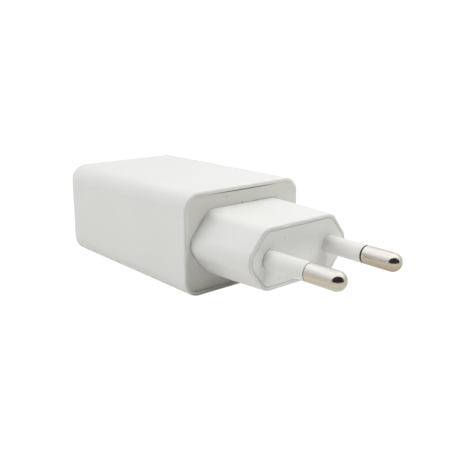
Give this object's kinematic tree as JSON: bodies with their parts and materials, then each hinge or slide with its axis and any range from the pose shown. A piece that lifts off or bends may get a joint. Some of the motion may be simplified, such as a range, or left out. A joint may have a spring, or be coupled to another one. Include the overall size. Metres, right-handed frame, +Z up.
{
  "type": "usb wall charger",
  "caption": "Compact mains charger: a box-shaped white casing with a six-sided plug boss, round sleeved pins and a USB socket in the opposite end.",
  "frame": {"origin": "on the bottom broad face, below the middle of the overall length", "axes": "+X out of the plug pins, +Y across the width to the right when the USB end is seen from behind the pins, +Z up through the thickness"},
  "size_m": [0.087, 0.035, 0.0236],
  "materials": {
    "white_shell": "white moulded thermoplastic, satin gloss",
    "plate_plastic": "white moulded thermoplastic, fine satin",
    "boss_plastic": "white moulded thermoplastic, satin gloss",
    "carrier_plastic": "white moulded thermoplastic, matt",
    "sleeve_plastic": "white insulating sleeve, satin",
    "pin_nickel": "nickel-plated brass, polished",
    "strip_brass": "bare brass strip",
    "board_laminate": "glass-epoxy laminate with green solder mask",
    "sheet_film": "pressed insulating film",
    "shell_steel": "nickel-plated steel sheet",
    "socket_plastic": "white glass-filled nylon",
    "contact_gold": "gold-flashed copper alloy",
    "ferrite": "sintered ferrite",
    "bobbin_plastic": "black phenolic moulding",
    "tinned_wire": "tinned copper wire",
    "enamel_wire": "enamelled copper wire",
    "insulated_wire": "triple-insulated winding wire",
    "winding_film": "polyester winding tape",
    "capacitor_dark": "shrunk sleeve on an aluminium can",
    "capacitor_blue": "shrunk sleeve on an aluminium can",
    "disc_ceramic": "dipped epoxy coat",
    "resistor_coat": "cement coat",
    "mould_black": "moulded epoxy package",
    "chip_ceramic": "fired ceramic chip with tinned ends"
  },
  "bodies": {
    "charger": {"casing": "white_shell", "face_plate": "plate_plastic", "plug_boss": "boss_plastic", "nose_insert": "carrier_plastic", "pin_left": "pin_nickel", "pin_right": "pin_nickel", "sleeve_left": "sleeve_plastic", "sleeve_right": "sleeve_plastic", "strip_left": "strip_brass", "strip_right": "strip_brass", "main_board": "board_laminate", "insulation_sheet": "sheet_film", "usb_shell": "shell_steel", "usb_insulator": "socket_plastic", "usb_tails": "contact_gold", "core_half_left": "ferrite", "core_half_right": "ferrite", "bobbin": "bobbin_plastic", "transformer_legs": "tinned_wire", "primary_winding": "enamel_wire", "winding_tape": "winding_film", "secondary_winding": "insulated_wire", "outer_tape": "winding_film", "input_capacitor_left": "capacitor_dark", "input_capacitor_right": "capacitor_dark", "output_capacitor_left": "capacitor_blue", "output_capacitor_right": "capacitor_blue", "y_capacitor": "disc_ceramic", "choke_core": "ferrite", "choke_winding": "enamel_wire", "fusible_resistor": "resistor_coat", "clamp_diode": "mould_black", "bridge_rectifier": "mould_black", "controller_chip": "mould_black", "output_rectifier": "mould_black", "chip_resistors": "mould_black", "chip_capacitors": "chip_ceramic"},
    "contact_vbus_body": {"contact_vbus": "contact_gold"},
    "contact_data_minus_body": {"contact_data_minus": "contact_gold"},
    "contact_data_plus_body": {"contact_data_plus": "contact_gold"},
    "contact_ground_body": {"contact_ground": "contact_gold"}
  },
  "joints": [
    {"name": "contact_vbus_flex", "type": "hinge", "parent": "charger", "child": "contact_vbus_body", "pos_m": [-0.03105, -0.0035, 0.01232], "axis": [0, 1, 0], "range_deg": [0, 4], "stiffness_Nm_per_rad": 0.03},
    {"name": "contact_data_minus_flex", "type": "hinge", "parent": "charger", "child": "contact_data_minus_body", "pos_m": [-0.03105, -0.001, 0.01232], "axis": [0, 1, 0], "range_deg": [0, 4], "stiffness_Nm_per_rad": 0.03},
    {"name": "contact_data_plus_flex", "type": "hinge", "parent": "charger", "child": "contact_data_plus_body", "pos_m": [-0.03105, 0.001, 0.01232], "axis": [0, 1, 0], "range_deg": [0, 4], "stiffness_Nm_per_rad": 0.03},
    {"name": "contact_ground_flex", "type": "hinge", "parent": "charger", "child": "contact_ground_body", "pos_m": [-0.03105, 0.0035, 0.01232], "axis": [0, 1, 0], "range_deg": [0, 4], "stiffness_Nm_per_rad": 0.03}
  ]
}
